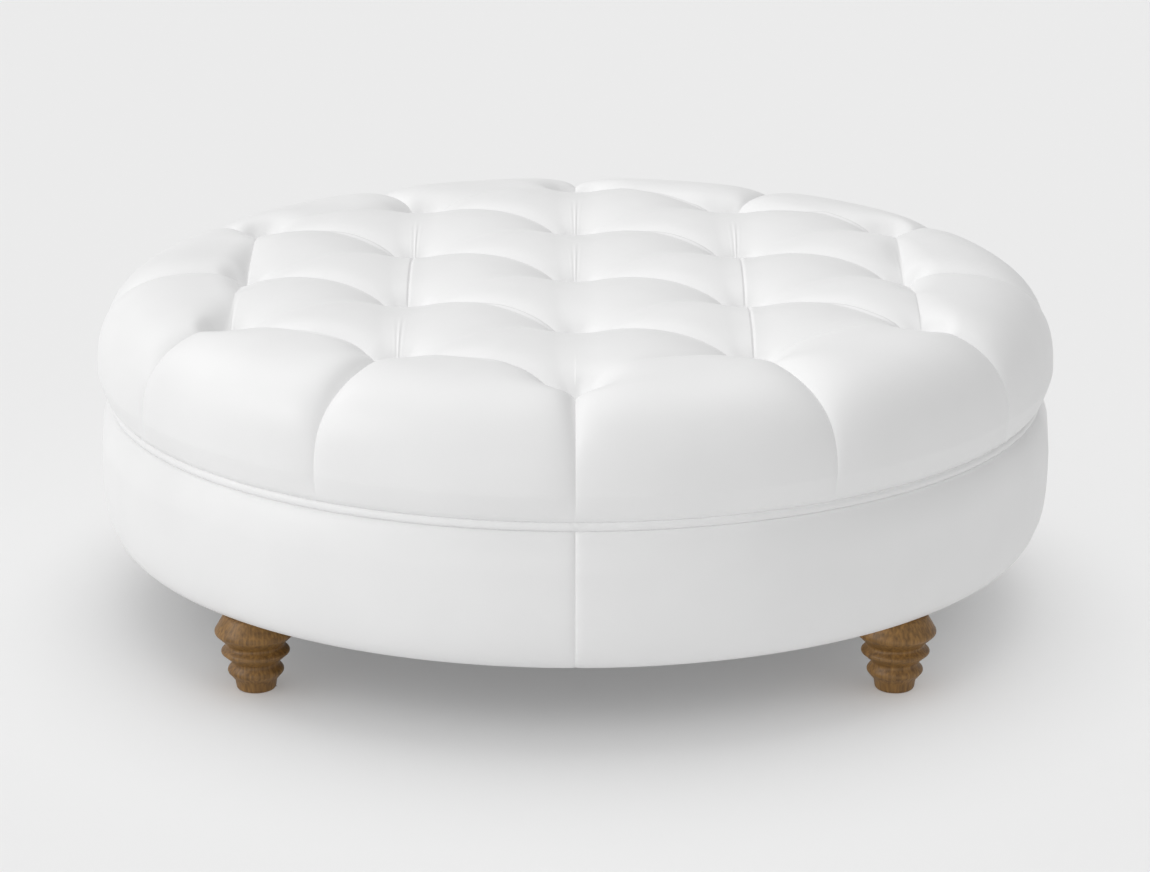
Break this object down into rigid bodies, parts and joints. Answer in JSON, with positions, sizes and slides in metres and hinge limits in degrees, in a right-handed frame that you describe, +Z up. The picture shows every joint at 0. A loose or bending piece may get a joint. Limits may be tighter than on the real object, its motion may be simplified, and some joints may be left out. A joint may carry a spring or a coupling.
{
  "type": "ottoman coffee table",
  "caption": "Round upholstered ottoman used as a coffee table, with a deep tufted cushion, a corded seam, a padded side and short turned legs.",
  "frame": {"origin": "on the floor, under the middle of the table", "axes": "+Z up, the front with its upright seam faces -Y, +X to the right seen from the front"},
  "size_m": [1.19, 1.19, 0.4245],
  "materials": {
    "cover_leather": "smooth, soft sheen",
    "leg_wood": "brown stain, satin",
    "plywood": "raw",
    "frame_wood": "raw",
    "hardboard": "raw",
    "steel": "zinc plated",
    "dust_cloth": "matt",
    "foam": "open cell",
    "twine": "waxed"
  },
  "bodies": {
    "root": {"back_left_leg_block": "frame_wood", "back_rib": "plywood", "back_right_leg_block": "frame_wood", "base_panel": "plywood", "deck_panel": "plywood", "dust_cover": "dust_cloth", "frame_post_1": "frame_wood", "frame_post_2": "frame_wood", "frame_post_3": "frame_wood", "frame_post_4": "frame_wood", "frame_post_5": "frame_wood", "frame_post_6": "frame_wood", "frame_post_7": "frame_wood", "frame_post_8": "frame_wood", "front_left_leg_block": "frame_wood", "front_rib": "plywood", "front_right_leg_block": "frame_wood", "left_rib": "plywood", "leg_screws": "steel", "right_rib": "plywood", "seat_foam": "foam", "side_cover_left": "cover_leather", "side_cover_right": "cover_leather", "side_hoop": "hardboard", "tufted_cover": "cover_leather", "tufting_twines": "twine", "turned_legs": "leg_wood", "welt_cord": "cover_leather"}
  },
  "joints": []
}
